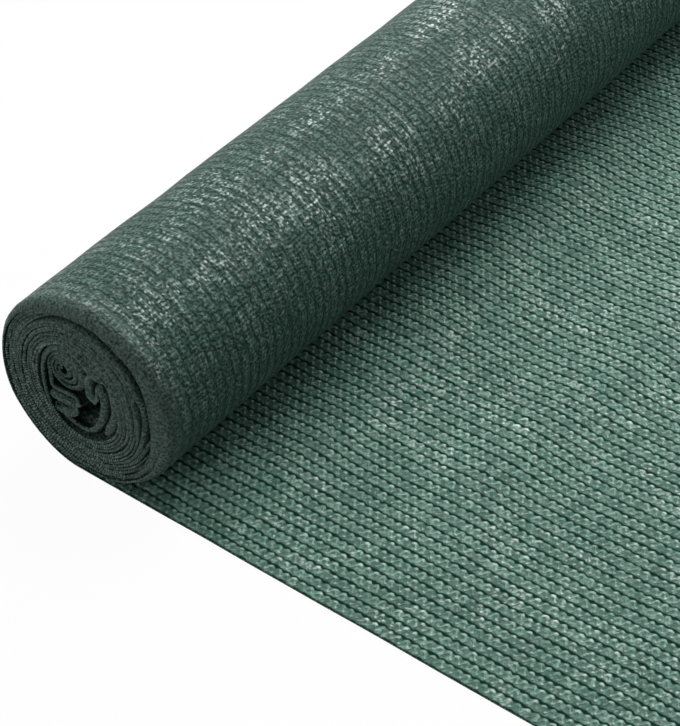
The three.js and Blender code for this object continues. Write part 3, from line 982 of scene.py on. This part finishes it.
def loop_side():
    """The side with the laid tapes: in each stitch column a row of upright strokes, uneven and broken, with
    a soft dark line between the columns"""
    material, net = new_finish("net_loop_side")
    place, along, columns = net.net_place()
    along = uneven_rows(net, place, along)
    columns = columns + net.noise(place, COLUMN_WANDER["patches"]).between(*COLUMN_WANDER["out"])
    laid = laid_strokes(net, place, along, columns)
    yarn = yarn_of_strokes(net, place, laid)
    light = light_on_strokes(net, place, laid)
    shine = shine_of_strokes(net, place, laid)
    dark, pale = net.blend(laid.near, LOOP_DARK, RIM_DARK), net.blend(laid.near, LOOP_LIGHT, RIM_LIGHT)
    net.knitted(colour_with_painted_glints(net, light, shine, dark, pale), shine, laid.height, LOOP_DEPTH, yarn)
    return material


# ---------------------------------------------------------------- the side edges
EDGE_DARK = (0.05, 0.08, 0.07, 1)
EDGE_LIGHT = (0.4, 0.57, 0.51, 1)
EDGE_HEADS = {"a_row": 3, "drift_patches": 200, "bright": (0.2, 1.0), "shine": 0.3, "edge": (0.0, 0.4)}
EDGE_LOOSE = {"patches": 700, "edge": (0.35, 0.65), "bright": (0.3, 1.0)}
EDGE_SEED = 8


def edge_side():
    """A row of small loop heads"""
    material, net = new_finish("net_edge")
    place, along, columns = net.net_place()
    heads = along * EDGE_HEADS["a_row"] + net.noise(place, EDGE_HEADS["drift_patches"])
    chance = net.chance(heads.floor(), columns.floor(), EDGE_SEED)
    point = net.node("ShaderNodeTexCoord", {}, {}, "Object")
    inputs = {"Vector": point, "Scale": EDGE_LOOSE["patches"], "Detail": 1}
    loose = net.node("ShaderNodeTexNoise", {}, inputs).step(*EDGE_LOOSE["edge"])
    head = ridge(heads.part() * 2 - 1, 1) * loose.between(*EDGE_LOOSE["bright"])
    colour = net.blend(head * chance.between(*EDGE_HEADS["bright"]), EDGE_DARK, EDGE_LIGHT)
    net.knitted(colour, head * chance * EDGE_HEADS["shine"], head, LOOP_DEPTH, head.step(*EDGE_HEADS["edge"]))
    return material


# ---------------------------------------------------------------- the pieces
def rows_by_ribs():
    """Rows across the net that follow every groove"""
    rows = (np.arange(math.ceil(NET_WIDTH / WALE))[:, None] * WALE + np.array(RIB_ROWS)).ravel()
    return np.append(rows[rows < NET_WIDTH - LAST_ROW_GAP], NET_WIDTH)


def rows_by_ends():
    """Rows across the net that lie close at both ends"""
    near = np.array(END_ROWS)
    return np.concatenate([near, [NET_WIDTH / 2], NET_WIDTH - near[::-1]])


tape_finish, wound_tape_finish = tape_side("net_tape_side", False), tape_side("net_tape_side_wound", True)
loop_finish, edge_finish = loop_side(), edge_side()
finishes = [tape_finish, loop_finish, edge_finish]
wound_finishes = [wound_tape_finish, loop_finish, edge_finish]

loose_along = np.linspace(0, LOOSE_REACH, LOOSE_COLUMNS)
ribs = rows_by_ribs()
loose_grid = loose_places(loose_along, ribs)
loose_length = length_along(loose_grid)
loose_end = closed_sheet("net_loose_end_knit", loose_grid, loose_length, ribs, finishes)

outer_turns = np.linspace(0, OUTER_TURN, OUTER_COLUMNS)
outer_grid = wound_places(outer_turns, ribs)
outer_length = loose_length[-1] + length_along(outer_grid)
outer_turn = closed_sheet("net_outer_turn", outer_grid, outer_length, ribs, finishes)

ends = rows_by_ends()
inner_turns = np.linspace(OUTER_TURN, TURNS + CORE_TURNS, INNER_COLUMNS)
inner_grid = np.concatenate([wound_places(inner_turns, ends), crumpled_places(ends)[1:]])
inner_length = outer_length[-1] + length_along(inner_grid)
bead = BEAD["thick"] * smooth((inner_length - inner_length[0]) / BEAD["grown"])[:, None]
inner_turns_piece = closed_sheet(
    "net_inner_turns", inner_grid, inner_length, ends, wound_finishes, ribs=False, bead=bead
)


def declare(piece, node):
    """Hangs a piece under the root and hides the frame's part that it stands for"""
    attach(piece, "root")
    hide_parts(node)


declare(loose_end, "net_loose_end")
declare(outer_turn, "net_roll")
declare(inner_turns_piece, "net_roll")


# ---------------------------------------------------------------- floor, light and camera
def seen_or_mirrored(finish):
    """1 for what the camera sees, straight or by reflection"""
    looks = [finish.node("ShaderNodeLightPath", {}, {}, "Is %s Ray" % kind) for kind in SEEN_BY]
    return looks[0].most(looks[1]).most(looks[2])


def pale_floor():
    material, floor = new_finish("pale_floor")
    seen = seen_or_mirrored(floor)
    plain = floor.node("ShaderNodeBsdfDiffuse", {}, {"Color": floor.blend(seen, FLOOR_COLOUR, WHITE)})
    white = floor.node("ShaderNodeEmission", {}, {"Color": WHITE, "Strength": 1.0})
    mixed = floor.node("ShaderNodeMixShader", {}, {0: seen * FLOOR_GLOW, 1: plain, 2: white})
    floor.node("ShaderNodeOutputMaterial", {}, {"Surface": mixed}, None)
    mesh = bpy.data.meshes.new("floor")
    half = FLOOR_HALF
    corners = [(x, y, FLOOR_DROP) for x, y in ((-half, -half), (half, -half), (half, half), (-half, half))]
    mesh.from_pydata(corners, [], [(0, 1, 2, 3)])
    mesh.materials.append(material)
    plane = bpy.data.objects.new("floor", mesh)
    bpy.context.scene.collection.objects.link(plane)


def white_world():
    world = bpy.data.worlds.new("white_world")
    world.use_nodes = True
    bpy.context.scene.world = world
    sky = Finish(world.node_tree)
    strength = seen_or_mirrored(sky) * (1 - WORLD_LIGHT) + WORLD_LIGHT
    background = sky.node("ShaderNodeBackground", {}, {"Color": WHITE, "Strength": strength})
    sky.node("ShaderNodeOutputWorld", {}, {"Surface": background}, None)


def soft_lamp(name, place, size, power):
    """A round soft lamp that faces the middle of the net"""
    data = bpy.data.lights.new(name, "AREA")
    data.shape = "DISK"
    data.size = size
    data.energy = power
    lamp = bpy.data.objects.new(name, data)
    bpy.context.scene.collection.objects.link(lamp)
    lamp.location = place
    lamp.rotation_euler = (-Vector(place)).to_track_quat("-Z", "Y").to_euler()


def angled_camera():
    data = bpy.data.cameras.new("camera")
    data.lens = CAMERA_LENS
    data.clip_start = CLIP_START
    camera = bpy.data.objects.new("camera", data)
    bpy.context.scene.collection.objects.link(camera)
    camera.location = to_row_frame(CAMERA_PLACE)
    camera.rotation_euler = (math.radians(90 - CAMERA_DOWN), 0, math.radians(CAMERA_TURNED))
    bpy.context.scene.camera = camera


pale_floor()
white_world()
for lamp in LAMPS:
    soft_lamp(**lamp)
angled_camera()
bpy.context.scene.view_settings.view_transform = "Standard"
